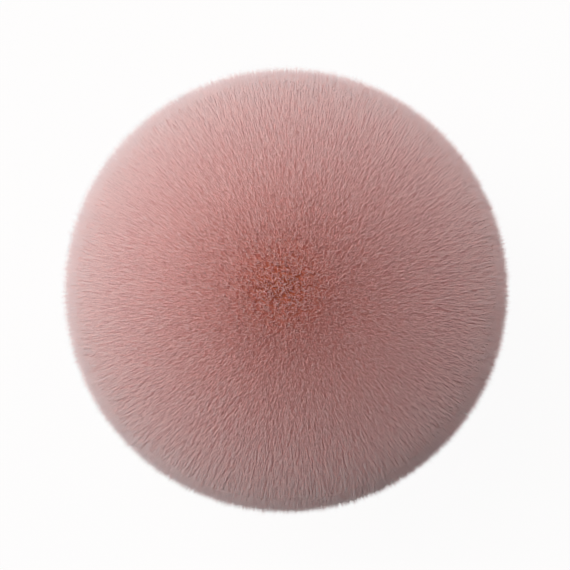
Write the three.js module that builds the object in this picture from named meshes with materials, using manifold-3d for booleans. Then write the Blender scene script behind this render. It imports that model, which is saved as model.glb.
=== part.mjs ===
// A kabuki brush that stands on its base with the bristles up.
// The bristle bundle is tied, glued into a ferrule and crimped onto a weighted handle.
// Millimetres, +Z up along the axis, origin at the centre of the foot.
import * as THREE from "three";
import { mergeVertices } from "three/addons/utils/BufferGeometryUtils.js";
import Module from "manifold-3d";

const wasm = await Module();
wasm.setup();

// Clearances
const FIT_GAP = 0.2; // between hard pieces that seat on each other
const TUFT_GAP = 0.3; // between the bundle and what holds it
const LOCK_GAP = 0.65; // between neighbouring locks of bristle

// Bristle head
const HEAD_DIAMETER = 65; // across the rim of the bristles
const CROWN_RISE = 21; // top of the dome above the rim
const FLARE_HEIGHT = 25; // rim above the mouth of the ferrule
const LOCK_ROWS = 11; // rows of locks about the middle one
const LOCKS_PER_STEP = 6; // each row has this many more locks than the row inside it
const LOCK_SIDES = 3;
const LOCK_BOW = 1.5; // how far the rim's locks bulge outwards
const TAPER_LENGTH = 7; // pointed end of a lock
const TIP_STAGGER = 1.2; // every second lock ends this much lower
const TUFT_BANDS = ["centre", "inner_ring", "middle_ring", "outer_ring"];

// Roots of the bundle
const ROOT_DIAMETER = 35; // glued root of the bundle
const ROOT_THICKNESS = 4; // slice of glued root under the locks
const ROOT_SINK = 0.5; // how deep the locks stand in that slice
const THREAD_DIAMETER = 0.8; // thread about the roots
const THREAD_TURNS = 3;
const PLUG_THICKNESS = 3; // glue under the roots
const MOUTH_DEPTH = 3.5; // glued roots below the mouth of the ferrule

// Ferrule
const FERRULE_WALL = 0.8;
const LIP_ROUND = 1.3; // rolled edge of the mouth
const CRIMP_DEPTH = 0.6; // rolled groove that locks the ferrule to the spigot
const CRIMP_WIDTH = 1.8;
const EDGE_ROUND = 0.3; // edges of turned metal

// Trim ring
const RING_HEIGHT = 2.2;
const RING_PROUD = 0.6; // beyond the ferrule's wall

// Handle
const SLEEVE_HEIGHT = 21;
const BASE_FLARE = 1.3; // base of the handle beyond the line of the ferrule
const WAIST_DEPTH = 0.9; // waist of the handle inside that line, at half height
const SLEEVE_ROUND = 1.4; // bottom edge of the handle
const SLEEVE_WALL = 3; // at the top of the handle
const CORE_WALL = 3.8; // about the weight
const SPIGOT_HEIGHT = 7;
const WEIGHT_HEIGHT = 11;
const PAD_THICKNESS = 1.5;

// Base
const CAP_MARGIN = 2.5; // handle's edge about the cap
const CAP_THICKNESS = 2.2;
const CAP_BOSS_HEIGHT = 2.5; // boss that enters the core
const FOOT_PROUD = 0.6; // foot below the sleeve's edge
const SNAP_DEPTH = 0.4; // snap bead about the cap
const FOOT_WIDTH = 4.3; // ring that the brush stands on, about the disc
const DISC_THICKNESS = 0.6;
const DISC_INSET = 0.3; // disc above the foot's face

// Fineness of the turned surfaces
const FACETS = 36;
const ROUND_STEPS = 3;
const WAIST_STEPS = 7;

// Radii that the fits share
const rootRadius = ROOT_DIAMETER / 2;
const mouthRadius = rootRadius + TUFT_GAP;
const threadInner = rootRadius + TUFT_GAP;
const threadOuter = threadInner + THREAD_DIAMETER;
const ferruleBore = threadOuter + TUFT_GAP;
const ferruleRadius = ferruleBore + FERRULE_WALL;
const spigotRadius = ferruleBore - FIT_GAP;
const baseRadius = ferruleRadius + BASE_FLARE;
const waistRadius = ferruleRadius - WAIST_DEPTH;
const sleeveBore = ferruleRadius - SLEEVE_WALL;
const coreRadius = sleeveBore - FIT_GAP;
const coreBore = coreRadius - CORE_WALL;
const weightRadius = coreBore - FIT_GAP;
const capRadius = baseRadius - CAP_MARGIN;
const capSeat = capRadius + FIT_GAP;
const discSeat = capRadius - FOOT_WIDTH;
const discRadius = discSeat - FIT_GAP;

// Heights, from the foot up
const sleeveBottom = FOOT_PROUD;
const sleeveTop = sleeveBottom + SLEEVE_HEIGHT;
const capSeatTop = CAP_THICKNESS + FIT_GAP;
const bossTop = CAP_THICKNESS + CAP_BOSS_HEIGHT;
const padBottom = bossTop + FIT_GAP;
const weightBottom = padBottom + PAD_THICKNESS + FIT_GAP;
const coreBoreTop = weightBottom + WEIGHT_HEIGHT + FIT_GAP;
const ringBottom = sleeveTop + FIT_GAP;
const ringTop = ringBottom + RING_HEIGHT;
const ferruleBottom = ringTop + FIT_GAP;
const spigotBottom = sleeveTop + FIT_GAP;
const spigotTop = ferruleBottom + SPIGOT_HEIGHT;
const crimpHeight = (ferruleBottom + spigotTop) / 2;
const plugBottom = spigotTop + TUFT_GAP;
const rootBottom = plugBottom + PLUG_THICKNESS + TUFT_GAP;
const rootTop = rootBottom + ROOT_THICKNESS;
const mouthHeight = rootTop + MOUTH_DEPTH;
const rimHeight = mouthHeight + FLARE_HEIGHT;

// Rows of locks at the roots
const rowPitch = rootRadius / (LOCK_ROWS + 0.5);
const rowTurn = Math.PI * (3 - Math.sqrt(5)); // turns each row so that the rows don't line up

// Materials
function finish(color, roughness, metalness) {
  return new THREE.MeshStandardMaterial({ color, roughness, metalness });
}
const bristle = finish(0xd9a6a0, 0.8, 0);
const roseMetal = finish(0xd9a48f, 0.3, 1);
const lacquer = finish(0xd8a9a6, 0.45, 0);
const moulded = finish(0xe9e2da, 0.6, 0);
const steel = finish(0x8b8f94, 0.45, 1);
const foam = finish(0x4a4648, 0.9, 0);
const glue = finish(0xcfae7a, 0.35, 0);
const cotton = finish(0xf0ece4, 0.9, 0);

// Welds a geometry's vertices and drops triangles without area.
function weld(geometry) {
  geometry.deleteAttribute("normal");
  geometry.deleteAttribute("uv");
  const merged = mergeVertices(geometry);
  const index = merged.getIndex().array;
  const kept = [];
  for (let i = 0; i < index.length; i += 3) {
    const [a, b, c] = [index[i], index[i + 1], index[i + 2]];
    if (a !== b && b !== c && c !== a) {
      kept.push(a, b, c);
    }
  }
  merged.setIndex(kept);
  return merged;
}

// Draws an outline of [radius, height, rounding] corners, counter-clockwise.
function outline(corners) {
  const points = corners.map(([radius, height]) => new THREE.Vector2(radius, height));
  const last = points.length - 1;
  const open = points[0].x === 0;
  const path = new THREE.Path();
  corners.forEach(([, , rounding = 0], i) => {
    const corner = points[i];
    const before = points[i === 0 ? last : i - 1].clone().sub(corner);
    const after = points[i === last ? 0 : i + 1].clone().sub(corner);
    const cut = Math.min(rounding, before.length() * 0.45, after.length() * 0.45);
    const start = before.setLength(cut).add(corner);
    const end = after.setLength(cut).add(corner);
    if (i === 0) {
      path.moveTo(start.x, start.y);
    } else {
      path.lineTo(start.x, start.y);
    }
    if (cut > 0) {
      path.quadraticCurveTo(corner.x, corner.y, end.x, end.y);
    }
  });
  if (!open) {
    path.closePath();
  }
  return path.getPoints(ROUND_STEPS);
}

// Turns an outline about the upright axis.
function turned(corners) {
  const geometry = new THREE.LatheGeometry(outline(corners), FACETS);
  geometry.rotateX(Math.PI / 2);
  return weld(geometry);
}

// A plain disc or ring between two radii and two heights.
function band(inner, outer, bottom, top, rounding) {
  if (inner === 0) {
    return turned([[0, bottom], [outer, bottom, rounding], [outer, top, rounding], [0, top]]);
  }
  return turned([[inner, bottom], [outer, bottom, rounding], [outer, top, rounding], [inner, top]]);
}

function toSolid(geometry) {
  const vertProperties = new Float32Array(geometry.getAttribute("position").array);
  const triVerts = new Uint32Array(geometry.getIndex().array);
  return new wasm.Manifold(new wasm.Mesh({ numProp: 3, vertProperties, triVerts }));
}

function fromSolid(solid) {
  const mesh = solid.getMesh();
  const geometry = new THREE.BufferGeometry();
  geometry.setAttribute("position", new THREE.BufferAttribute(mesh.vertProperties, 3));
  geometry.setIndex(new THREE.BufferAttribute(mesh.triVerts, 1));
  return geometry;
}

// Where a row's locks end on the dome. Every lock gets an equal patch of it.
function tipOfRow(row) {
  const cosine = 1 - (row / LOCK_ROWS) ** 2;
  const sine = Math.sqrt(1 - cosine ** 2);
  return new THREE.Vector2((HEAD_DIAMETER / 2) * sine, rimHeight + CROWN_RISE * cosine);
}

// The thickest point of a row's locks, just below their pointed ends.
function shoulderOfRow(row) {
  const mouth = new THREE.Vector2(row * rowPitch, mouthHeight);
  const tip = tipOfRow(row);
  const rise = tip.clone().sub(mouth);
  const shoulder = mouth.clone().add(rise.setLength(rise.length() - TAPER_LENGTH));
  shoulder.x += LOCK_BOW * (row / LOCK_ROWS) ** 2;
  return shoulder;
}

// How far a lock's corners stand from its middle, where the rows have the given pitch.
function lockReach(pitch) {
  return (pitch - LOCK_GAP) / Math.sqrt(3);
}

// One lock of bristle: from its root, straight through the mouth, out to its point on the dome.
function lock(row, place) {
  const nearRow = Math.max(row, 1);
  const rootReach = lockReach(rowPitch);
  const shoulderReach = lockReach(shoulderOfRow(nearRow).x / nearRow);
  const shoulder = shoulderOfRow(row);
  const tip = tipOfRow(row);
  if (place % 2 === 1) {
    tip.add(shoulder.clone().sub(tip).setLength(TIP_STAGGER));
  }
  const stations = [
    { radius: row * rowPitch, height: rootTop - ROOT_SINK, reach: rootReach },
    { radius: row * rowPitch, height: mouthHeight, reach: rootReach },
    { radius: shoulder.x, height: shoulder.y, reach: shoulderReach },
  ];
  const turn = row * rowTurn + (place * 2 * Math.PI) / (nearRow * LOCKS_PER_STEP);
  const direction = new THREE.Vector2(Math.cos(turn), Math.sin(turn));
  const corners = [];
  for (const { radius, height, reach } of stations) {
    for (let side = 0; side < LOCK_SIDES; side++) {
      const angle = turn + (side * 2 * Math.PI) / LOCK_SIDES;
      corners.push(direction.x * radius + Math.cos(angle) * reach);
      corners.push(direction.y * radius + Math.sin(angle) * reach);
      corners.push(height);
    }
  }
  corners.push(direction.x * tip.x, direction.y * tip.x, tip.y);
  const faces = [];
  const top = stations.length - 1;
  for (let side = 0; side < LOCK_SIDES; side++) {
    const next = (side + 1) % LOCK_SIDES;
    for (let level = 0; level < top; level++) {
      const low = level * LOCK_SIDES;
      const high = low + LOCK_SIDES;
      faces.push(low + side, low + next, high + next);
      faces.push(low + side, high + next, high + side);
    }
    faces.push(top * LOCK_SIDES + side, top * LOCK_SIDES + next, stations.length * LOCK_SIDES);
    if (side > 0 && side < LOCK_SIDES - 1) {
      faces.push(0, next, side);
    }
  }
  const geometry = new THREE.BufferGeometry();
  geometry.setAttribute("position", new THREE.Float32BufferAttribute(corners, 3));
  geometry.setIndex(faces);
  return toSolid(geometry);
}

// One band of the tuft: its rows of locks, fused to their slice of glued root.
function tuftBand(firstRow, lastRow) {
  const inner = firstRow === 0 ? 0 : (firstRow - 0.5) * rowPitch + TUFT_GAP / 2;
  const outer = (lastRow + 0.5) * rowPitch - TUFT_GAP / 2;
  let solid = toSolid(band(inner, outer, rootBottom, rootTop, 0));
  for (let row = firstRow; row <= lastRow; row++) {
    const count = row === 0 ? 1 : row * LOCKS_PER_STEP;
    for (let place = 0; place < count; place++) {
      solid = solid.add(lock(row, place));
    }
  }
  return fromSolid(solid);
}

function bindingThread() {
  const middle = (rootBottom + rootTop) / 2;
  const half = (THREAD_DIAMETER * THREAD_TURNS) / 2;
  return band(threadInner, threadOuter, middle - half, middle + half, THREAD_DIAMETER / 2);
}

function rootPlug() {
  return band(0, ferruleBore - TUFT_GAP, plugBottom, plugBottom + PLUG_THICKNESS, EDGE_ROUND);
}

function ferrule() {
  const half = CRIMP_WIDTH / 2;
  return turned([
    [ferruleBore, ferruleBottom],
    [ferruleRadius, ferruleBottom, EDGE_ROUND],
    [ferruleRadius, crimpHeight - half],
    [ferruleRadius - CRIMP_DEPTH, crimpHeight, CRIMP_DEPTH],
    [ferruleRadius, crimpHeight + half],
    [ferruleRadius, mouthHeight, LIP_ROUND],
    [mouthRadius, mouthHeight, EDGE_ROUND],
    [mouthRadius, mouthHeight - FERRULE_WALL],
    [ferruleBore, mouthHeight - FERRULE_WALL],
    [ferruleBore, crimpHeight + half],
    [ferruleBore - CRIMP_DEPTH, crimpHeight, CRIMP_DEPTH],
    [ferruleBore, crimpHeight - half],
  ]);
}

function trimRing() {
  const outer = ferruleRadius + RING_PROUD;
  return band(ferruleBore, outer, ringBottom, ringTop, RING_HEIGHT * 0.45);
}

function handleCore() {
  const half = CRIMP_WIDTH / 2;
  return turned([
    [0, coreBoreTop],
    [coreBore, coreBoreTop],
    [coreBore, capSeatTop],
    [coreRadius, capSeatTop],
    [coreRadius, spigotBottom],
    [spigotRadius, spigotBottom],
    [spigotRadius, crimpHeight - half],
    [spigotRadius - CRIMP_DEPTH, crimpHeight, CRIMP_DEPTH],
    [spigotRadius, crimpHeight + half],
    [spigotRadius, spigotTop, EDGE_ROUND],
    [0, spigotTop],
  ]);
}

function handleSleeve() {
  const bottom = new THREE.Vector2(baseRadius, sleeveBottom + SLEEVE_ROUND);
  const top = new THREE.Vector2(ferruleRadius, sleeveTop);
  const pull = 2 * waistRadius - (baseRadius + ferruleRadius) / 2;
  const bend = new THREE.Vector2(pull, (bottom.y + top.y) / 2);
  const flank = new THREE.QuadraticBezierCurve(bottom, bend, top).getPoints(WAIST_STEPS);
  const snapHeight = (sleeveBottom + capSeatTop) / 2;
  return turned([
    [capSeat, sleeveBottom],
    [baseRadius, sleeveBottom, SLEEVE_ROUND],
    ...flank.map((point) => [point.x, point.y]),
    [sleeveBore, sleeveTop],
    [sleeveBore, capSeatTop],
    [capSeat, capSeatTop],
    [capSeat, snapHeight + SNAP_DEPTH],
    [capSeat + SNAP_DEPTH, snapHeight],
    [capSeat, snapHeight - SNAP_DEPTH],
  ]);
}

function handleWeight() {
  return band(0, weightRadius, weightBottom, weightBottom + WEIGHT_HEIGHT, EDGE_ROUND);
}

function weightPad() {
  return band(0, weightRadius, padBottom, padBottom + PAD_THICKNESS, 0);
}

function baseCap() {
  const recessTop = DISC_INSET + DISC_THICKNESS + FIT_GAP;
  const snapHeight = (sleeveBottom + capSeatTop) / 2;
  return turned([
    [0, recessTop],
    [discSeat, recessTop],
    [discSeat, 0, EDGE_ROUND],
    [capRadius, 0, EDGE_ROUND],
    [capRadius, snapHeight - SNAP_DEPTH],
    [capRadius + SNAP_DEPTH, snapHeight],
    [capRadius, snapHeight + SNAP_DEPTH],
    [capRadius, CAP_THICKNESS],
    [weightRadius, CAP_THICKNESS],
    [weightRadius, bossTop],
    [0, bossTop],
  ]);
}

function baseDisc() {
  return band(0, discRadius, DISC_INSET, DISC_INSET + DISC_THICKNESS, EDGE_ROUND / 2);
}

// The assembly
const brush = new THREE.Group();
brush.name = "kabuki_brush";

function place(name, geometry, material) {
  const mesh = new THREE.Mesh(geometry, material);
  mesh.name = name;
  brush.add(mesh);
}

let firstRow = 0;
TUFT_BANDS.forEach((name, i) => {
  const lastRow = Math.round(LOCK_ROWS * Math.sqrt((i + 1) / TUFT_BANDS.length));
  place(`bristle_${name}`, tuftBand(firstRow, lastRow), bristle);
  firstRow = lastRow + 1;
});
place("binding_thread", bindingThread(), cotton);
place("root_plug", rootPlug(), glue);
place("ferrule", ferrule(), roseMetal);
place("trim_ring", trimRing(), roseMetal);
place("handle_core", handleCore(), moulded);
place("handle_sleeve", handleSleeve(), lacquer);
place("handle_weight", handleWeight(), steel);
place("weight_pad", weightPad(), foam);
place("base_cap", baseCap(), moulded);
place("base_disc", baseDisc(), roseMetal);

export default brush;
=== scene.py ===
# %% [markdown]
# # A kabuki brush
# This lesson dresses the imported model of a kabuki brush: a wide dome of soft fibres in a metal ferrule,
# on a short weighted handle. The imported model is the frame, so every piece here takes its place and
# size from it, in metres, with the foot at the origin and +Z up the brush's axis.

# %% Load the frame
import math

import bmesh
import bpy
import numpy as np
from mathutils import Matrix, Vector


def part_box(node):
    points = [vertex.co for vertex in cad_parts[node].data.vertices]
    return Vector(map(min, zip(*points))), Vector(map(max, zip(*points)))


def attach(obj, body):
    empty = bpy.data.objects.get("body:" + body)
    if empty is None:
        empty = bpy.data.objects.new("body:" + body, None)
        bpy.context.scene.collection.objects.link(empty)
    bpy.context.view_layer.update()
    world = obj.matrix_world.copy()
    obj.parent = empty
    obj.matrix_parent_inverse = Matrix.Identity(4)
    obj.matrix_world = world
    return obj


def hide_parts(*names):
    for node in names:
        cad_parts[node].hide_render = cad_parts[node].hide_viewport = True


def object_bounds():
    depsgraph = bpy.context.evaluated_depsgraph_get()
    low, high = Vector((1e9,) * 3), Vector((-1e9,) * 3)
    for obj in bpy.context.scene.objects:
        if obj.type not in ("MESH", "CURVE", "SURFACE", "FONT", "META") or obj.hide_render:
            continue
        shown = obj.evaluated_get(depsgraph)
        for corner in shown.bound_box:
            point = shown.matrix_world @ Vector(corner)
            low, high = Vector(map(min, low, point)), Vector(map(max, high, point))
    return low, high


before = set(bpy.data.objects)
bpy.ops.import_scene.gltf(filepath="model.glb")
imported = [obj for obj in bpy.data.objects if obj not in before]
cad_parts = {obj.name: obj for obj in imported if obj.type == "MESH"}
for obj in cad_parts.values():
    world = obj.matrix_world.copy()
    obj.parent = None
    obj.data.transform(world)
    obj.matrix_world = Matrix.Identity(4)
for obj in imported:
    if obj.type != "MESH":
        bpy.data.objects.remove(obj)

MM = 0.001
cad_low, cad_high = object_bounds()
print("CAD box in mm:", [round(v / MM, 1) for v in cad_high - cad_low])

# %% [markdown]
# ## Sizes of the head
# The bristles leave the ferrule's mouth as a tight bundle and fan out to a dome. Its rim and crown, the
# mouth and the glued root are read from the frame, so the fibres follow the solids if these change.

# %% Read the head's sizes
ferrule_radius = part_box("ferrule")[1].x
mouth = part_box("ferrule")[1].z
head_radius = cad_high.x
crown = cad_high.z
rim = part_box("bristle_outer_ring")[1].z
root_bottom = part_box("bristle_centre")[0].z
ROOT_THICKNESS = 4.0 * MM
THREAD_WRAP = 1.1 * MM
root_top = root_bottom + ROOT_THICKNESS
bundle_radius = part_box("binding_thread")[1].x - THREAD_WRAP
print("mouth", round(mouth / MM, 1), "rim", round(rim / MM, 1), "crown", round(crown / MM, 1))

# %% [markdown]
# ## One fibre
# A real head holds far more fibres than a screen can show, each about as thin as a human hair. A
# particle system would draw them quickly, but only real meshes can be handed on with the model. So one
# fibre is modelled with bmesh: a triangle, extruded from station to station and merged to a point at
# the tip.

# %% Model one fibre
def model_fibre(stations):
    """One straight fibre along Z with a station at each whole height, as corners and numbered faces."""
    bm = bmesh.new()
    bmesh.ops.create_circle(bm, cap_ends=True, segments=3, radius=1.0)
    top = bm.faces[:][0]
    for step in range(stations - 1):
        made = bmesh.ops.extrude_face_region(bm, geom=[top])["geom"]
        rising = [v for v in made if isinstance(v, bmesh.types.BMVert)]
        bmesh.ops.translate(bm, verts=rising, vec=(0, 0, 1))
        if step:
            bmesh.ops.delete(bm, geom=[top], context="FACES_ONLY")
        top = next(f for f in made if isinstance(f, bmesh.types.BMFace))
    bmesh.ops.pointmerge(bm, verts=top.verts[:], merge_co=(0, 0, stations - 1))
    bmesh.ops.recalc_face_normals(bm, faces=bm.faces[:])
    bm.verts.index_update()
    corners = np.array([v.co for v in bm.verts])
    faces = [[v.index for v in f.verts] for f in bm.faces]
    bm.free()
    return corners, faces


corners, faces = model_fibre(4)
print("a fibre with 4 stations has", len(corners), "corners and", len(faces), "faces")

# %% [markdown]
# ## The fibre on the UV map
# The dye follows a fibre's length, so the length goes along U. The three long sides lie next to each
# other along V, as if the fibre were slit open and rolled flat. Blender can unwrap a mesh by itself,
# but with so many copies it is surer to lay one fibre out by rule. The end face at the root would be a
# mere line there, so one of its corners is lifted.

# %% Unroll the fibre
END_LIFT = 0.02


def unrolled(corners, faces):
    """For each corner of each face: its strip, from 0 to 3 around the fibre, and its lift along U."""
    below_tip = corners[:, 2] < corners[:, 2].max() - 0.5
    side = np.round(np.arctan2(corners[:, 1], corners[:, 0]) * 3 / (2 * math.pi)).astype(int) % 3
    strips, lifts = [], []
    for face in faces:
        sides = [int(side[v]) for v in face if below_tip[v]]
        wraps = set(sides) == {0, 2}  # the side that closes the ring runs from strip 2 on to 3
        is_end = max(corners[v, 2] for v in face) < 0.5
        for v in face:
            own = [int(side[v])] if below_tip[v] else sides
            strips.append(sum(3 if wraps and s == 0 else s for s in own) / len(own))
            lifts.append(END_LIFT if is_end and side[v] == 0 else 0.0)
    return np.array(strips), np.array(lifts)


strips, lifts = unrolled(corners, faces)
print("strips from", strips.min(), "to", strips.max())

# %% [markdown]
# ## Where the fibres run
# Every fibre gets an equal patch of the dome, and its path is a curve from its place in the mouth to
# its place on the dome: upright in the middle, fanned out towards the rim. Geometry nodes could bend
# the copies too. Plain arrays are used because every path has its own length and lean.

# %% Paths
SHOULDER = 1.2
FIRST_PULL, FIRST_LEAN = 0.25, 1.1
LAST_PULL, LAST_LEAN = 0.3, 0.7


def tip_of(share):
    """Where a fibre ends on the dome, from share 0 at the crown to 1 just below the widest line."""
    cosine = 1 - SHOULDER * share ** 2
    sine = np.sqrt(1 - cosine ** 2)
    return head_radius * sine, rim + (crown - rim) * cosine


def point_on_path(share, turn, along):
    """A point in the bundle: along goes from 0 at the mouth to 1 at the tip."""
    mouth_out = share * bundle_radius
    tip_out, tip_up = tip_of(share)
    lean = np.arctan2(tip_out - mouth_out, tip_up - mouth)
    length = np.hypot(tip_out - mouth_out, tip_up - mouth)
    first_out = mouth_out + FIRST_PULL * length * np.sin(FIRST_LEAN * lean)
    first_up = mouth + FIRST_PULL * length * np.cos(FIRST_LEAN * lean)
    last_out = tip_out - LAST_PULL * length * np.sin(LAST_LEAN * lean)
    last_up = tip_up - LAST_PULL * length * np.cos(LAST_LEAN * lean)
    a, b = (1 - along) ** 3, 3 * along * (1 - along) ** 2
    c, d = 3 * along ** 2 * (1 - along), along ** 3
    out = a * mouth_out + b * first_out + c * last_out + d * tip_out
    up = a * mouth + b * first_up + c * last_up + d * tip_up
    return np.stack([out * np.cos(turn), out * np.sin(turn), up], -1)


print("the middle fibre is", round((tip_of(0.0)[1] - mouth) / MM, 1), "mm long above the mouth")

# %% [markdown]
# ## Planting
# The roots are planted on a sunflower spiral, which fills a round bundle evenly, and pushed a little
# off it so that no pattern shows. Soft fibres are never straight: each sways to one side below its tip,
# most of all in the middle, where it would otherwise be seen end on with a dark gap around it. All
# chance is seeded, so the head is always the same.

# %% Plant the fibres
random = np.random.default_rng(65)
FIBRES = 139000
GOLDEN = math.pi * (3 - math.sqrt(5))
SCATTER = 0.35
number = np.arange(FIBRES)
spacing = math.sqrt(math.pi / FIBRES)
from_axis = np.sqrt((number + 0.5) / FIBRES)
root = from_axis[:, None] * np.stack([np.cos(number * GOLDEN), np.sin(number * GOLDEN)], -1)
root += random.normal(0, SCATTER * spacing, root.shape)
share = np.minimum(np.hypot(root[:, 0], root[:, 1]), 1.0 - random.uniform(0, 0.01, FIBRES))
turn = np.arctan2(root[:, 1], root[:, 0])
print(FIBRES, "fibres")

# %% [markdown]
# ## Habits
# No two fibres are alike. Some end a little short, most of all at the rim, which makes its edge soft.
# Each has its own thickness and tone, and tapers to its tip. How much of the dye a fibre shows is a
# habit too: much of it in the middle, where one looks down into the head, and little at the rim, where
# one looks at the fibres' sides.

# %% Give each fibre its own habit
FIBRE_RADIUS = 0.055 * MM
SHORT_ENDS = 0.006


def rise(start, end):
    """Goes from 0 to 1 where a fibre's place, as a share of the way to the rim, goes from start to end."""
    return np.clip((share - start) / (end - start), 0, 1)


shorter = np.abs(random.normal(0, SHORT_ENDS, FIBRES)) * (1 + 1.8 * share ** 2 + 3 * rise(0.93, 1.0))
taper = 0.93 - 0.13 * rise(0.0, 0.6) + 0.11 * rise(0.88, 0.98)
sway = (0.35 * (1 - share) + 0.1) * MM
tip_sway = (0.1 + 0.2 * share ** 2) * MM
thickness = FIBRE_RADIUS * random.uniform(0.8, 1.15, FIBRES)
roll = random.uniform(0, 2 * math.pi, FIBRES)
tone = 0.95 - random.uniform(0, 0.93, FIBRES) * (1 - 0.85 * share ** 2)
tip_fade = 0.945 + 0.055 * share
depth_seen = 0.85 - 0.71 * rise(0.1, 0.95)
thinnest, thickest = 2 * thickness.min() / MM, 2 * thickness.max() / MM
print("fibres are", round(thinnest, 3), "to", round(thickest, 3), "mm thick")

# %% Lead the fibres along their paths
SET_IN_ROOT = 0.5 * MM
HELD_BELOW = 0.3


def places_along(chosen, stations):
    """Where each chosen fibre has its stations. None stands for the place where its own taper starts."""
    return np.stack([taper[chosen] if s is None else np.full(len(chosen), s) for s in stations], 1)


def fibre_paths(chosen, along):
    """The chosen fibres' middles at each station, the first of them in the glued root."""
    start = point_on_path(share[chosen], turn[chosen], 0 * share[chosen])
    start[:, 2] = root_top - SET_IN_ROOT
    spots = [start]
    for reached in along.T:
        spot = point_on_path(share[chosen], turn[chosen], reached * (1 - shorter[chosen]))
        swaying = sway[chosen] * reached * (reached > HELD_BELOW)
        loose = np.where(reached == 1, tip_sway[chosen], swaying)
        spot[:, :2] += random.normal(0, 1, (len(chosen), 2)) * loose[:, None]
        spots.append(spot)
    return np.stack(spots, 1)


# %% [markdown]
# ## Bending the copies
# Each path gets a copy of the fibre: every corner moves to its station on the path and stands out from
# it by the fibre's thickness. An Array and a Curve modifier would bend one copy at a time, which takes
# too long here, so the corners of all copies are one array that is written into the mesh at once.

# %% Stand the corners around the paths
def bent_corners(chosen, path, corners, widths):
    """The corners of one copy for each chosen fibre, set around its path."""
    station = corners[:, 2].round().astype(int)
    heading = np.gradient(path, axis=1)
    heading /= np.linalg.norm(heading, axis=2, keepdims=True)
    around_axis = np.stack([-np.sin(turn[chosen]), np.cos(turn[chosen]), 0 * turn[chosen]], -1)[:, None, :]
    side = np.cross(heading, around_axis)
    side /= np.linalg.norm(side, axis=2, keepdims=True)
    across = np.cross(side, heading)
    cos_roll, sin_roll = np.cos(roll[chosen])[:, None], np.sin(roll[chosen])[:, None]
    width = thickness[chosen][:, None] * np.array(widths)[None, station]
    x = (corners[None, :, 0] * cos_roll - corners[None, :, 1] * sin_roll) * width
    y = (corners[None, :, 0] * sin_roll + corners[None, :, 1] * cos_roll) * width
    return path[:, station] + x[..., None] * across[:, station] + y[..., None] * side[:, station]


# %% Fill a mesh with the copies
def mesh_of_copies(name, spots, faces):
    """A smooth mesh that has the same faces on the corners of each copy."""
    copies, corner_count, _ = spots.shape
    loops = np.concatenate(faces)
    sizes = np.array([len(f) for f in faces])
    starts = np.cumsum(sizes) - sizes
    copy = np.arange(copies)[:, None]
    mesh = bpy.data.meshes.new(name)
    mesh.vertices.add(copies * corner_count)
    mesh.vertices.foreach_set("co", spots.reshape(-1).astype(np.float32))
    mesh.loops.add(copies * len(loops))
    mesh.loops.foreach_set("vertex_index", (copy * corner_count + loops).reshape(-1).astype(np.int32))
    mesh.polygons.add(copies * len(sizes))
    mesh.polygons.foreach_set("loop_start", (copy * len(loops) + starts).reshape(-1).astype(np.int32))
    mesh.update(calc_edges=True)
    mesh.polygons.foreach_set("use_smooth", np.ones(copies * len(sizes), bool))
    return mesh


# %% Make a tuft
SIDE_STRIP = 0.0035
ABOVE_ROOT = 0.9


def make_bristles(name, chosen, stations, widths):
    """One mesh with a bent copy of the fibre on each chosen path. Its UV map is the place in the dye."""
    corners, faces = model_fibre(len(stations) + 1)
    strips, lifts = unrolled(corners, faces)
    along = places_along(chosen, stations)
    mesh = mesh_of_copies(name, bent_corners(chosen, fibre_paths(chosen, along), corners, widths), faces)
    at_station = corners[np.concatenate(faces), 2].round().astype(int)
    below_tip = np.concatenate([np.ones((len(chosen), 1)), ABOVE_ROOT * (1 - along)], 1)[:, at_station]
    uv = np.empty((len(chosen), len(at_station), 2), np.float32)
    uv[:, :, 0] = tip_fade[chosen][:, None] - (below_tip - lifts) * depth_seen[chosen][:, None]
    uv[:, :, 1] = tone[chosen][:, None] + strips * SIDE_STRIP
    mesh.uv_layers.new(name="OFBake").uv.foreach_set("vector", uv.reshape(-1))
    piece = bpy.data.objects.new(name, mesh)
    bpy.context.collection.objects.link(piece)
    print(name, len(chosen), "fibres,", len(mesh.loops) - 2 * len(mesh.polygons), "triangles")
    return piece


# %% [markdown]
# ## Bristle finish
# The fibres are dyed: rust red in the depth of the head, dusty pink near the dome and paler at the
# tips. That is a colour ramp along the fibre, times a second ramp that makes each fibre a little
# lighter or darker. Thin fibres let light through, so the shader scatters it below the surface, and a
# weak sheen stands for the fine down on them. They have no gloss of their own, because a mirror image
# of the white room would lie on the head as a grey veil.

# %% Mix the bristle finish
def new_finish(name):
    """A material with nodes, and its tree and main shader."""
    finish = bpy.data.materials.new(name)
    finish.use_nodes = True
    return finish, finish.node_tree, finish.node_tree.nodes["Principled BSDF"]


def ramp(tree, source, stops):
    """A colour ramp with the given (place, colour) stops, fed by a socket."""
    node = tree.nodes.new("ShaderNodeValToRGB")
    elements = node.color_ramp.elements
    elements[0].position, elements[0].color = stops[0][0], (*stops[0][1], 1)
    elements[1].position, elements[1].color = stops[-1][0], (*stops[-1][1], 1)
    for place, colour in stops[1:-1]:
        elements.new(place).color = (*colour, 1)
    tree.links.new(source, node.inputs["Fac"])
    return node.outputs["Color"]


def multiplied(tree, first, second):
    """Two colours multiplied."""
    node = tree.nodes.new("ShaderNodeMix")
    node.data_type, node.blend_type = "RGBA", "MULTIPLY"
    node.inputs["Factor"].default_value = 1.0
    tree.links.new(first, node.inputs["A"])
    tree.links.new(second, node.inputs["B"])
    return node.outputs["Result"]


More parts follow.
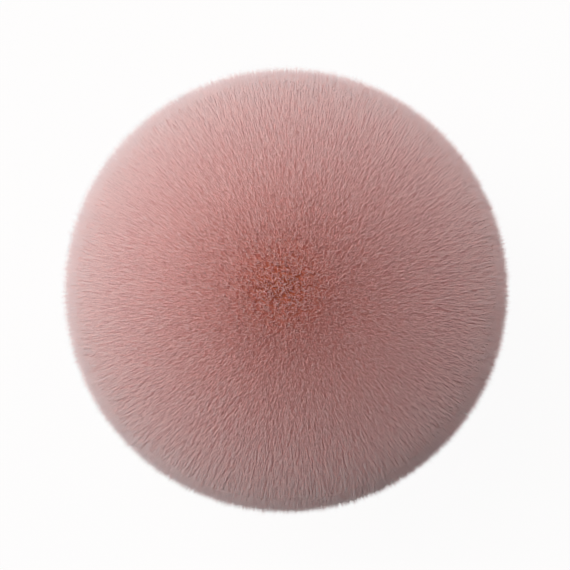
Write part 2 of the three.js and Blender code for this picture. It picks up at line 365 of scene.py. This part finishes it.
bristle_finish, tree, shader = new_finish("bristle")
shader.inputs["Roughness"].default_value = 0.45
shader.inputs["Specular IOR Level"].default_value = 0.0
shader.inputs["Sheen Weight"].default_value = 0.2
shader.inputs["Sheen Roughness"].default_value = 0.4
shader.inputs["Sheen Tint"].default_value = (1.0, 0.55, 0.5, 1.0)
shader.inputs["Subsurface Weight"].default_value = 1.0
shader.inputs["Subsurface Scale"].default_value = 0.1 * MM
shader.inputs["Subsurface Radius"].default_value = (1.0, 0.6, 0.55)
along_and_tone = tree.nodes.new("ShaderNodeUVMap")
along_and_tone.uv_map = "OFBake"
split = tree.nodes.new("ShaderNodeSeparateXYZ")
tree.links.new(along_and_tone.outputs["UV"], split.inputs["Vector"])
RUST, ROSE, PINK, MAUVE = (0.84, 0.30, 0.22), (0.81, 0.45, 0.435), (0.83, 0.485, 0.475), (0.78, 0.505, 0.52)
dye = ramp(tree, split.outputs["X"], [(0.85, RUST), (0.915, ROSE), (0.96, PINK), (1.0, MAUVE)])
own_tone = ramp(tree, split.outputs["Y"], [(0.0, (0.8, 0.75, 0.73)), (1.0, (1.0, 1.0, 1.0))])
tree.links.new(multiplied(tree, dye, own_tone), shader.inputs["Base Color"])
print("bristle finish:", len(tree.nodes), "nodes")

# %% [markdown]
# ## The four bands of the head
# In the frame the head is four tufts, one inside the other, so each of them gets its own fibres. In the
# middle only the tips show, and two stations above the root are enough. Towards the rim more of a fibre
# shows from the side, and it gets more stations to bend at. A band is split into sectors, so that no
# mesh holds more than 200,000 triangles.

# %% Fasten a piece to the frame
def belongs(piece, node, finish):
    """Gives a piece its finish and puts it in the place of its node."""
    piece.data.materials.append(finish)
    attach(piece, "root")
    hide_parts(node)


# %% Make the bands
ONLY_TIPS_SEEN = ([None, 1.0], [0.8, 0.95, 0.0])
HALF_SEEN = ([0.45, None, 1.0], [0.8, 1.0, 0.95, 0.0])
SEEN_ALONG = ([0.01, 0.4, None, 1.0], [0.8, 0.85, 1.0, 0.95, 0.0])
BANDS = {
    "bristle_centre": (0.0, 0.565, ONLY_TIPS_SEEN),
    "bristle_inner_ring": (0.565, 0.739, ONLY_TIPS_SEEN),
    "bristle_middle_ring": (0.739, 0.913, HALF_SEEN),
    "bristle_outer_ring": (0.913, 1.1, SEEN_ALONG),
}
FIBRES_PER_PIECE = 8500
for node, (inner, outer, (stations, widths)) in BANDS.items():
    inside = np.flatnonzero((share >= inner) & (share < outer))
    inside = inside[np.argsort(turn[inside])]
    sectors = np.array_split(inside, math.ceil(len(inside) / FIBRES_PER_PIECE))
    for i, chosen in enumerate(sectors):
        belongs(make_bristles(f"{node}_{i + 1}", chosen, stations, widths), node, bristle_finish)

# %% [markdown]
# ## Turned pieces
# Ferrule, trim ring, sleeve, root and base are all round, so each is an outline spun about the axis, as
# on a lathe. A lathe modifier (Screw) would do the same. The bmesh spin is used because its edges can
# then be bevelled: the polished round on a real edge is what catches the light.

# %% A lathe
TURN_STEPS = 144
SAME = 1e-6


def turned(name, outline, rounds=(), closed=True, sharp=35):
    """Spins (radius, height) corners about Z and rounds some of them: (corner, radius, segments)."""
    bm = bmesh.new()
    points = [bm.verts.new((radius, 0, height)) for radius, height in outline]
    ends = points[1:] + points[:1] if closed else points[1:]
    lines = [bm.edges.new(pair) for pair in zip(points, ends)]
    bmesh.ops.spin(bm, geom=points + lines, cent=(0, 0, 0), axis=(0, 0, 1), angle=2 * math.pi,
                   steps=TURN_STEPS, use_merge=True)
    bmesh.ops.remove_doubles(bm, verts=bm.verts[:], dist=SAME)
    bmesh.ops.recalc_face_normals(bm, faces=bm.faces[:])
    for (out, up), radius, segments in rounds:
        ring = {v for v in bm.verts if abs(v.co.xy.length - out) < SAME and abs(v.co.z - up) < SAME}
        around = [e for e in bm.edges if e.verts[0] in ring and e.verts[1] in ring]
        bmesh.ops.bevel(bm, geom=around, offset=radius, offset_type="OFFSET", affect="EDGES",
                        segments=segments, profile=0.5, material=-1)
    for face in bm.faces:
        face.smooth = True
    mesh = bpy.data.meshes.new(name)
    bm.to_mesh(mesh)
    bm.free()
    mesh.set_sharp_from_angle(angle=math.radians(sharp))
    piece = bpy.data.objects.new(name, mesh)
    bpy.context.collection.objects.link(piece)
    print(name, len(mesh.polygons), "faces")
    return piece


# %% [markdown]
# ## Marks that several finishes share
# A turned surface keeps fine lines around its axis, and anything that is held gets faint smudges. Both
# are node groups: the pattern is built once and each material sets how large it is. The lines come from
# noise that is read at (radius, height) only, so it can't change around the axis.

# %% Helpers for groups
def new_group(name, inputs, outputs):
    """An empty shader node group with float inputs and outputs."""
    group = bpy.data.node_groups.new(name, "ShaderNodeTree")
    for title, value in inputs.items():
        socket = group.interface.new_socket(title, in_out="INPUT", socket_type="NodeSocketFloat")
        socket.default_value = value
    for title in outputs:
        group.interface.new_socket(title, in_out="OUTPUT", socket_type="NodeSocketFloat")
    return group, group.nodes.new("NodeGroupInput"), group.nodes.new("NodeGroupOutput")


def noise(tree, vector, scale, detail=3.0, rough=0.55):
    """A noise texture on a vector. The scale is a number or a socket."""
    node = tree.nodes.new("ShaderNodeTexNoise")
    node.inputs["Detail"].default_value = detail
    node.inputs["Roughness"].default_value = rough
    tree.links.new(vector, node.inputs["Vector"])
    if isinstance(scale, (int, float)):
        node.inputs["Scale"].default_value = scale
    else:
        tree.links.new(scale, node.inputs["Scale"])
    return node.outputs["Fac"]


def spread(tree, source, low, high, to_low=0.0, to_high=1.0):
    """Maps a value from one range to another, without leaving it."""
    node = tree.nodes.new("ShaderNodeMapRange")
    tree.links.new(source, node.inputs["Value"])
    for title, value in (("From Min", low), ("From Max", high), ("To Min", to_low), ("To Max", to_high)):
        node.inputs[title].default_value = value
    return node.outputs["Result"]


# %% Turning lines
turning, given, put_out = new_group("turning_lines", {"Lines per metre": 4000.0}, ["Lines", "Broad"])
place = turning.nodes.new("ShaderNodeTexCoord").outputs["Object"]
xyz = turning.nodes.new("ShaderNodeSeparateXYZ")
turning.links.new(place, xyz.inputs["Vector"])
flat = turning.nodes.new("ShaderNodeCombineXYZ")
turning.links.new(xyz.outputs["X"], flat.inputs["X"])
turning.links.new(xyz.outputs["Y"], flat.inputs["Y"])
radius = turning.nodes.new("ShaderNodeVectorMath")
radius.operation = "LENGTH"
turning.links.new(flat.outputs["Vector"], radius.inputs[0])
section = turning.nodes.new("ShaderNodeCombineXYZ")
turning.links.new(radius.outputs["Value"], section.inputs["X"])
turning.links.new(xyz.outputs["Z"], section.inputs["Y"])
fine = noise(turning, section.outputs["Vector"], given.outputs["Lines per metre"], 4.0, 0.7)
turning.links.new(fine, put_out.inputs["Lines"])
turning.links.new(noise(turning, section.outputs["Vector"], 300.0, 2.0), put_out.inputs["Broad"])
print("turning lines:", len(turning.nodes), "nodes")

# %% Handling marks
handling, given, put_out = new_group("handling_marks", {"Smudges per metre": 90.0}, ["Smudge", "Grain"])
place = handling.nodes.new("ShaderNodeTexCoord").outputs["Object"]
blot = noise(handling, place, given.outputs["Smudges per metre"], 2.0, 0.5)
handling.links.new(spread(handling, blot, 0.42, 0.68), put_out.inputs["Smudge"])
handling.links.new(noise(handling, place, 2600.0, 2.0), put_out.inputs["Grain"])
print("handling marks:", len(handling.nodes), "nodes")

# %% Place a group in a finish
def placed(tree, group, **values):
    """A group node with its own values, by input name."""
    node = tree.nodes.new("ShaderNodeGroup")
    node.node_tree = group
    for title, value in values.items():
        node.inputs[title.replace("_", " ").capitalize()].default_value = value
    return node


def bumped(tree, shader, height, strength, distance):
    """Feeds a height into the shader's normal."""
    bump = tree.nodes.new("ShaderNodeBump")
    bump.inputs["Strength"].default_value = strength
    bump.inputs["Distance"].default_value = distance
    tree.links.new(height, bump.inputs["Height"])
    tree.links.new(bump.outputs["Normal"], shader.inputs["Normal"])


def blended(tree, mask, first, second):
    """Two colours mixed by a mask."""
    node = tree.nodes.new("ShaderNodeMix")
    node.data_type = "RGBA"
    tree.links.new(mask, node.inputs["Factor"])
    for title, colour in (("A", first), ("B", second)):
        if isinstance(colour, tuple):
            node.inputs[title].default_value = (*colour, 1)
        else:
            tree.links.new(colour, node.inputs[title])
    return node.outputs["Result"]


def added(tree, first, second, share=1.0):
    """The first value plus a share of the second."""
    node = tree.nodes.new("ShaderNodeMath")
    node.operation = "MULTIPLY_ADD"
    tree.links.new(second, node.inputs[0])
    node.inputs[1].default_value = share
    tree.links.new(first, node.inputs[2])
    return node.outputs["Value"]


# %% [markdown]
# ## The mass below the tips
# A few millimetres below the tips the real head is so dense that no light comes through. The copies are
# far fewer, so a turned body stands for that mass. More fibres would do the same at many times the
# cost. It follows the tips at a share of the fibres' length, is drawn in at the rim, so that tips alone
# make the head's edge, and its flank bends where the outer fibres bend. In the gaps between the tips it
# shows rust red in the middle and pink at the rim: the dye of the depth, with painted shade in the middle,
# where it is darker than the fibres' own rust, and painted light at the rim, where it keeps the shaded gaps
# pale.

# %% Mass
MASS_REACH = 0.91
MASS_RISE = 0.05
MASS_SHARE = 0.965
MASS_INSET = 0.045
MASS_SEAT = root_top - 0.2 * MM
crest = [(s, MASS_REACH + MASS_RISE * s ** 4) for s in np.linspace(0, MASS_SHARE, 25)]
side = [(MASS_SHARE, along) for along in reversed(SEEN_ALONG[0][:2])]
mass_outline = []
for s, along in crest + side:
    x, _, z = point_on_path(np.array(s), np.array(0.0), np.array(along))
    mass_outline.append((float(x) * (1 - MASS_INSET * s ** 2 * along), float(z)))
mass_outline[0] = (0.0, mass_outline[0][1])
mass_outline += [(mass_outline[-1][0], MASS_SEAT), (0.0, MASS_SEAT)]
mass = turned("bristle_mass", mass_outline, closed=False)

# %% Depth of the dye, with painted shade and light
mass_finish, tree, shader = new_finish("bristle_depth")
shader.inputs["Roughness"].default_value = 0.9
shader.inputs["Specular IOR Level"].default_value = 0.0
place = tree.nodes.new("ShaderNodeTexCoord").outputs["Object"]
across = tree.nodes.new("ShaderNodeVectorMath")
across.operation = "MULTIPLY"
across.inputs[1].default_value = (1, 1, 0)
tree.links.new(place, across.inputs[0])
reach = tree.nodes.new("ShaderNodeVectorMath")
reach.operation = "LENGTH"
tree.links.new(across.outputs["Vector"], reach.inputs[0])
outwards = spread(tree, reach.outputs["Value"], 0.0, head_radius)
# Painted shade and light: the middle is darker than the fibres' own rust dye, for the shade in the deep
# gaps, and the rim is pale pink to lift the gaps there that the fibres shade.
SHADED_DEEP_RUST, DEEP_ROSE = (0.67, 0.19, 0.1), (0.6, 0.285, 0.255)
DEEP_PINK, LIT_EDGE_PINK = (0.66, 0.36, 0.35), (0.82, 0.50, 0.49)
depths = [(0.05, SHADED_DEEP_RUST), (0.24, DEEP_ROSE), (0.7, DEEP_PINK), (0.95, LIT_EDGE_PINK)]
depth_dye_with_painted_shade_and_light = ramp(tree, outwards, depths)
# Painted shade: the mass is darker at the borders of small cells, for the shade between the packed fibre
# ends.
ends = tree.nodes.new("ShaderNodeTexVoronoi")
ends.inputs["Scale"].default_value = 4000.0
tree.links.new(place, ends.inputs["Vector"])
painted_shade_between_ends = ramp(tree, ends.outputs["Distance"], [(0.1, (1.0, 1.0, 1.0)), (0.7, (0.82, 0.78, 0.76))])
tree.links.new(multiplied(tree, depth_dye_with_painted_shade_and_light, painted_shade_between_ends), shader.inputs["Base Color"])
belongs(mass, "bristle_centre", mass_finish)

# %% [markdown]
# ## Ferrule and trim ring
# The ferrule is a drawn aluminium tube, dyed rose gold. Its mouth is rolled inwards over the bristles,
# and one groove is rolled in where it grips the handle. The groove is drawn as a smooth hollow in the
# outline, and the mouth is a bevel. The trim ring below it is a small half-round hoop that covers the
# joint.

# %% Rose metal
def rose_metal(name, light, dark, lines):
    """Polished metal between two tones, with turning lines and smudges that dull it."""
    finish, tree, shader = new_finish(name)
    shader.inputs["Metallic"].default_value = 1.0
    turned_marks = placed(tree, turning, lines_per_metre=lines)
    held = placed(tree, handling, smudges_per_metre=120.0)
    tone = blended(tree, spread(tree, turned_marks.outputs["Broad"], 0.2, 0.8), dark, light)
    tree.links.new(tone, shader.inputs["Base Color"])
    polish = spread(tree, turned_marks.outputs["Lines"], 0.25, 0.75, 0.15, 0.24)
    tree.links.new(added(tree, polish, held.outputs["Smudge"], 0.08), shader.inputs["Roughness"])
    bumped(tree, shader, turned_marks.outputs["Lines"], 0.05, 0.02 * MM)
    return finish


ferrule_finish = rose_metal("rose_metal", (0.77, 0.43, 0.33), (0.72, 0.385, 0.29), 2400.0)
print("rose metal:", len(ferrule_finish.node_tree.nodes), "nodes")

# %% Ferrule
ferrule_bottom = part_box("ferrule")[0].z
WALL = 0.8 * MM
MOUTH_GAP = 0.3 * MM
LIP_ROUND = 1.3 * MM
EDGE_ROUND = 0.3 * MM
FOOT_ROUND = 0.25 * MM
CRIMP_DEPTH = 0.6 * MM
CRIMP_WIDTH = 1.8 * MM
CRIMP_UP = 3.5 * MM
bore = ferrule_radius - WALL
mouth_radius = bundle_radius + MOUTH_GAP
crimp = ferrule_bottom + CRIMP_UP
hollow = [(-0.5 + i / 10, 0.5 + 0.5 * math.cos(2 * math.pi * (-0.5 + i / 10))) for i in range(11)]
outer_groove = [(ferrule_radius - CRIMP_DEPTH * deep, crimp + CRIMP_WIDTH * up) for up, deep in hollow]
inner_groove = [(bore - CRIMP_DEPTH * deep, crimp + CRIMP_WIDTH * up) for up, deep in reversed(hollow)]
tube = [(bore, ferrule_bottom), (ferrule_radius, ferrule_bottom)] + outer_groove
tube += [(ferrule_radius, mouth), (mouth_radius, mouth), (mouth_radius, mouth - WALL), (bore, mouth - WALL)]
tube += inner_groove
rounds = [((ferrule_radius, ferrule_bottom), FOOT_ROUND, 3), ((ferrule_radius, mouth), LIP_ROUND, 8)]
rounds += [((mouth_radius, mouth), EDGE_ROUND, 4)]
ferrule = turned("ferrule_tube", tube, rounds)
belongs(ferrule, "ferrule", ferrule_finish)

# %% Trim ring
HOOP_ROUND = 0.95 * MM
ring_low, ring_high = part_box("trim_ring")
hoop = [(bore, ring_low.z), (ring_high.x, ring_low.z), (ring_high.x, ring_high.z), (bore, ring_high.z)]
trim_ring = turned("trim_hoop", hoop, [(corner, HOOP_ROUND, 6) for corner in hoop[1:3]])
belongs(trim_ring, "trim_ring", ferrule_finish)

# %% [markdown]
# ## Glued root
# Inside the ferrule the fibres are set in hard glue, as a flat disc. Nobody sees it, but the fibres
# need something to stand in when the ferrule is taken off.

# %% Root disc
root_finish, tree, shader = new_finish("glued_root")
shader.inputs["Roughness"].default_value = 0.4
held = placed(tree, handling, smudges_per_metre=900.0)
set_dye = blended(tree, held.outputs["Smudge"], (0.50, 0.16, 0.09), (0.62, 0.33, 0.20))
tree.links.new(set_dye, shader.inputs["Base Color"])
bumped(tree, shader, held.outputs["Grain"], 0.3, 0.1 * MM)
disc = [(0, root_bottom), (bundle_radius, root_bottom), (bundle_radius, root_top), (0, root_top)]
root_disc = turned("glued_root", disc, [(corner, EDGE_ROUND, 3) for corner in disc[1:3]], closed=False)
belongs(root_disc, "bristle_centre", root_finish)

# %% [markdown]
# ## Handle sleeve
# The sleeve is a short waisted barrel in satin lacquer, a little wider at the base so that it stands
# well. Its flank is one shallow curve in the outline. Lacquer has a clear coat with a faint ripple, and
# it goes dull where the base is pushed along a table, so the roughness rises near the foot.

# %% Lacquer
lacquer_finish, tree, shader = new_finish("lacquer")
shader.inputs["Coat Weight"].default_value = 0.5
shader.inputs["Coat Roughness"].default_value = 0.12
held = placed(tree, handling, smudges_per_metre=70.0)
place = tree.nodes.new("ShaderNodeTexCoord").outputs["Object"]
height = tree.nodes.new("ShaderNodeSeparateXYZ")
tree.links.new(place, height.inputs["Vector"])
near_foot = spread(tree, height.outputs["Z"], 0.0, 3.4 * MM, 1.0, 0.0)
worn = spread(tree, added(tree, near_foot, held.outputs["Smudge"], 0.35), 0.55, 1.15)
even = blended(tree, noise(tree, place, 40.0, 3.0), (0.74, 0.45, 0.43), (0.81, 0.52, 0.50))
tree.links.new(blended(tree, worn, even, (0.62, 0.38, 0.36)), shader.inputs["Base Color"])
satin = spread(tree, held.outputs["Smudge"], 0.0, 1.0, 0.3, 0.42)
tree.links.new(added(tree, satin, worn, 0.2), shader.inputs["Roughness"])
bumped(tree, shader, noise(tree, place, 700.0, 2.0), 0.08, 0.05 * MM)
print("lacquer:", len(tree.nodes), "nodes")

# %% Sleeve
sleeve_low, sleeve_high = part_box("handle_sleeve")
base_radius = sleeve_high.x
SLEEVE_WALL = 3.0 * MM
SLEEVE_FOOT = 1.4 * MM
SLEEVE_ROUND = 1.2 * MM
WAIST = 0.9 * MM
BASE_LAND = 2.5 * MM
CAP_GAP = 0.2 * MM
SNAP = 0.4 * MM
sleeve_bore = ferrule_radius - SLEEVE_WALL
waist_pull = 2 * (ferrule_radius - WAIST) - (base_radius + ferrule_radius) / 2
cap_radius = base_radius - BASE_LAND
cap_seat = cap_radius + CAP_GAP
cap_seat_top = 2.4 * MM
snap = (sleeve_low.z + cap_seat_top) / 2
flank = []
for i in range(17):
    t = i / 16
    out = (1 - t) ** 2 * base_radius + 2 * t * (1 - t) * waist_pull + t ** 2 * ferrule_radius
    flank.append((out, sleeve_low.z + SLEEVE_FOOT + t * (sleeve_high.z - sleeve_low.z - SLEEVE_FOOT)))
barrel = [(cap_seat, sleeve_low.z), (base_radius, sleeve_low.z)] + flank
barrel += [(sleeve_bore, sleeve_high.z), (sleeve_bore, cap_seat_top), (cap_seat, cap_seat_top)]
barrel += [(cap_seat, snap + SNAP), (cap_seat + SNAP, snap), (cap_seat, snap - SNAP)]
sleeve = turned("sleeve_barrel", barrel, [(barrel[1], SLEEVE_ROUND, 8), (flank[-1], EDGE_ROUND, 4)])
belongs(sleeve, "handle_sleeve", lacquer_finish)

# %% [markdown]
# ## Base
# A moulded cap snaps into the bottom of the handle. It has a raised foot ring to stand on and a shallow
# recess, and in the recess lies a thin metal disc. The cap is matt plastic with a fine spark-eroded
# grain; the disc is brushed in circles.

# %% Moulded plastic
plastic_finish, tree, shader = new_finish("moulded_plastic")
held = placed(tree, handling, smudges_per_metre=110.0)
cream = blended(tree, held.outputs["Smudge"], (0.82, 0.76, 0.69), (0.74, 0.67, 0.60))
tree.links.new(cream, shader.inputs["Base Color"])
tree.links.new(spread(tree, held.outputs["Grain"], 0.3, 0.7, 0.48, 0.66), shader.inputs["Roughness"])
bumped(tree, shader, held.outputs["Grain"], 0.25, 0.05 * MM)
print("moulded plastic:", len(tree.nodes), "nodes")

# %% Base cap
cap_low, cap_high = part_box("base_cap")
disc_low, disc_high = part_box("base_disc")
weight_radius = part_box("handle_weight")[1].x
recess_radius = disc_high.x + CAP_GAP
recess_top = disc_high.z + CAP_GAP
CAP_THICKNESS = 2.2 * MM
cup = [(0, recess_top), (recess_radius, recess_top), (recess_radius, 0), (cap_radius, 0)]
cup += [(cap_radius, snap - SNAP), (cap_radius + SNAP, snap), (cap_radius, snap + SNAP)]
cup += [(cap_radius, CAP_THICKNESS), (weight_radius, CAP_THICKNESS)]
cup += [(weight_radius, cap_high.z), (0, cap_high.z)]
base_cap = turned("base_cup", cup, [(corner, EDGE_ROUND, 4) for corner in cup[2:4]], closed=False)
belongs(base_cap, "base_cap", plastic_finish)

# %% Base disc
PLATE_ROUND = 0.12 * MM
plate = [(0, disc_low.z), (disc_high.x, disc_low.z), (disc_high.x, disc_high.z), (0, disc_high.z)]
base_disc = turned("base_plate", plate, [(corner, PLATE_ROUND, 3) for corner in plate[1:3]], closed=False)
disc_finish = rose_metal("brushed_disc", (0.78, 0.46, 0.36), (0.68, 0.37, 0.28), 2600.0)
belongs(base_disc, "base_disc", disc_finish)

# %% [markdown]
# ## Pieces inside the handle
# The core, the weight, the foam pad, the glue plug and the thread are never seen in use, so their
# solids stay as they come from the frame. They still get real finishes: turned steel, open foam, amber
# glue and twisted cotton. Image textures would do for these, but patterns that Blender works out need
# no file and have no seam.

# %% Turned steel
steel_finish, tree, shader = new_finish("steel")
shader.inputs["Metallic"].default_value = 1.0
turned_marks = placed(tree, turning, lines_per_metre=1800.0)
steel_tone = blended(tree, turned_marks.outputs["Broad"], (0.22, 0.23, 0.26), (0.32, 0.33, 0.36))
tree.links.new(steel_tone, shader.inputs["Base Color"])
steel_polish = spread(tree, turned_marks.outputs["Lines"], 0.2, 0.8, 0.32, 0.55)
tree.links.new(steel_polish, shader.inputs["Roughness"])
bumped(tree, shader, turned_marks.outputs["Lines"], 0.3, 0.05 * MM)
print("steel:", len(tree.nodes), "nodes")

# %% Open foam
foam_finish, tree, shader = new_finish("foam")
shader.inputs["Roughness"].default_value = 0.95
place = tree.nodes.new("ShaderNodeTexCoord").outputs["Object"]
pores = tree.nodes.new("ShaderNodeTexVoronoi")
pores.inputs["Scale"].default_value = 1600.0
tree.links.new(place, pores.inputs["Vector"])
cell = spread(tree, pores.outputs["Distance"], 0.1, 0.6)
# Painted shade: the pores are darker in their middles, where the bump makes them pits, and the struts
# between them are lighter.
tree.links.new(blended(tree, cell, (0.03, 0.027, 0.03), (0.085, 0.075, 0.08)), shader.inputs["Base Color"])
bumped(tree, shader, cell, 0.8, 0.3 * MM)
print("foam:", len(tree.nodes), "nodes")

# %% Amber glue
glue_finish, tree, shader = new_finish("glue")
place = tree.nodes.new("ShaderNodeTexCoord").outputs["Object"]
cloud = noise(tree, place, 220.0, 4.0)
tree.links.new(blended(tree, cloud, (0.52, 0.32, 0.12), (0.70, 0.52, 0.28)), shader.inputs["Base Color"])
tree.links.new(spread(tree, cloud, 0.3, 0.7, 0.2, 0.36), shader.inputs["Roughness"])
bumped(tree, shader, noise(tree, place, 500.0, 2.0), 0.2, 0.1 * MM)
print("glue:", len(tree.nodes), "nodes")

# %% Twisted cotton
cotton_finish, tree, shader = new_finish("cotton")
shader.inputs["Roughness"].default_value = 0.9
shader.inputs["Sheen Weight"].default_value = 0.3
place = tree.nodes.new("ShaderNodeTexCoord").outputs["Object"]
turns = tree.nodes.new("ShaderNodeTexWave")
turns.bands_direction = "Z"
turns.inputs["Scale"].default_value = 400.0
turns.inputs["Distortion"].default_value = 1.5
tree.links.new(place, turns.inputs["Vector"])
# Painted shade: the grooves of the twist, where the bump is low, are darker than the raised turns.
undyed_with_painted_groove_shade = blended(tree, turns.outputs["Fac"], (0.70, 0.66, 0.58), (0.88, 0.85, 0.79))
tree.links.new(undyed_with_painted_groove_shade, shader.inputs["Base Color"])
bumped(tree, shader, turns.outputs["Fac"], 0.6, 0.2 * MM)
print("cotton:", len(tree.nodes), "nodes")

# %% Finish the inner pieces
INSIDE = {
    "handle_core": plastic_finish,
    "handle_weight": steel_finish,
    "weight_pad": foam_finish,
    "root_plug": glue_finish,
    "binding_thread": cotton_finish,
}
for node, finish in INSIDE.items():
    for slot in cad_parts[node].material_slots:
        slot.material = finish
print("finished inside:", list(INSIDE))

# %% [markdown]
# ## Floor, world and lamps
# The brush stands on a plain floor under two soft white lamps from the upper left. A third, low lamp
# and a weak world fill the shaded side, both a little warm, because light that has been between pink
# fibres isn't white any more. An image of a studio could light it too, but lamps are easier to set one
# by one. To the camera, and in reflections, floor and world are white; for everything else they are
# matt and dim, so the background stays clean without more light on the brush.

# %% White to the eye
def white_to_the_eye(tree, out, plain, share):
    """Mixes a plain shader with pure white where the camera, a reflection or glass looks at it."""
    looked_at = tree.nodes.new("ShaderNodeLightPath")
    gloss = tree.nodes.new("ShaderNodeMath")
    through = tree.nodes.new("ShaderNodeMath")
    gloss.operation = through.operation = "MAXIMUM"
    tree.links.new(looked_at.outputs["Is Camera Ray"], gloss.inputs[0])
    tree.links.new(looked_at.outputs["Is Glossy Ray"], gloss.inputs[1])
    tree.links.new(gloss.outputs["Value"], through.inputs[0])
    tree.links.new(looked_at.outputs["Is Transmission Ray"], through.inputs[1])
    much = tree.nodes.new("ShaderNodeMath")
    much.operation = "MULTIPLY"
    much.inputs[1].default_value = share
    tree.links.new(through.outputs["Value"], much.inputs[0])
    on_surface = out.bl_idname == "ShaderNodeOutputMaterial"
    white = tree.nodes.new("ShaderNodeEmission" if on_surface else "ShaderNodeBackground")
    white.inputs["Color"].default_value = (1, 1, 1, 1)
    white.inputs["Strength"].default_value = 1.0
    mix = tree.nodes.new("ShaderNodeMixShader")
    tree.links.new(much.outputs["Value"], mix.inputs["Fac"])
    tree.links.new(plain, mix.inputs[1])
    tree.links.new(white.outputs[0], mix.inputs[2])
    tree.links.new(mix.outputs[0], out.inputs["Surface"])


# %% Floor
bm = bmesh.new()
bmesh.ops.create_grid(bm, x_segments=1, y_segments=1, size=2.0)
floor_mesh = bpy.data.meshes.new("floor")
bm.to_mesh(floor_mesh)
bm.free()
floor = bpy.data.objects.new("floor", floor_mesh)
bpy.context.collection.objects.link(floor)
floor_finish = bpy.data.materials.new("floor")
floor_finish.use_nodes = True
tree = floor_finish.node_tree
tree.nodes.clear()
matt = tree.nodes.new("ShaderNodeBsdfDiffuse")
matt.inputs["Color"].default_value = (0.8, 0.68, 0.66, 1)
white_to_the_eye(tree, tree.nodes.new("ShaderNodeOutputMaterial"), matt.outputs["BSDF"], 0.95)
floor_mesh.materials.append(floor_finish)
print("floor:", round(floor.dimensions.x, 1), "m wide")

# %% World
world = bpy.data.worlds.new("studio")
world.use_nodes = True
bpy.context.scene.world = world
tree = world.node_tree
tree.nodes.clear()
dim = tree.nodes.new("ShaderNodeBackground")
dim.inputs["Color"].default_value = (1, 0.74, 0.72, 1)
dim.inputs["Strength"].default_value = 0.2
white_to_the_eye(tree, tree.nodes.new("ShaderNodeOutputWorld"), dim.outputs["Background"], 1.0)
print("world strength", round(dim.inputs["Strength"].default_value, 2))

# %% Lamps
WARM = (1, 0.8, 0.78)


def soft_lamp(name, bearing, height, distance, size, watts, colour=(1, 1, 1)):
    """A round soft lamp that looks at the head from a bearing and a height in degrees."""
    data = bpy.data.lights.new(name, "AREA")
    data.shape, data.size, data.energy, data.color = "DISK", size, watts, colour
    lamp = bpy.data.objects.new(name, data)
    bearing, height = math.radians(bearing), math.radians(height)
    level = distance * math.cos(height)
    offset = Vector((level * math.cos(bearing), level * math.sin(bearing), distance * math.sin(height)))
    lamp.location = Vector((0, 0, rim)) + offset
    lamp.rotation_mode = "QUATERNION"
    lamp.rotation_quaternion = (-offset).to_track_quat("-Z", "Y")
    bpy.context.collection.objects.link(lamp)
    print(name, watts, "W")


soft_lamp("side_lamp", 160, 45, 0.75, 0.8, 2.5)
soft_lamp("top_lamp", 145, 74, 0.85, 0.3, 3.7)
soft_lamp("fill_lamp", 40, 12, 0.8, 0.4, 2.1, WARM)
bpy.context.scene.cycles.diffuse_bounces = 6  # light bounces often between pale fibres

# %% [markdown]
# ## Camera
# The camera looks straight down the brush's axis, but for a couple of degrees, with a long lens, so the
# head fills the picture as a disc. Its distance follows from the head's known width and the pixels that
# it takes up in the picture.

# %% Camera
PICTURE = 570
HEAD_PIXELS = 448
HEAD_WIDTH = 65 * MM
camera_data = bpy.data.cameras.new("camera")
camera_data.lens = 200
camera_data.sensor_width = 36
camera_data.clip_end = 10
camera = bpy.data.objects.new("camera", camera_data)
bpy.context.collection.objects.link(camera)
bpy.context.scene.camera = camera
distance = HEAD_WIDTH * PICTURE / HEAD_PIXELS * camera_data.lens / camera_data.sensor_width
aside, below = math.radians(1.5), math.radians(2.2)
looked_at = Vector((-0.1 * MM, 0.7 * MM, rim))
camera.location = looked_at + distance * Vector((math.sin(aside), -math.sin(below), math.cos(below)))
camera.rotation_euler = (below, aside, 0)
bpy.context.scene.view_settings.view_transform = "Standard"
print("camera", round(distance / MM), "mm above the rim")
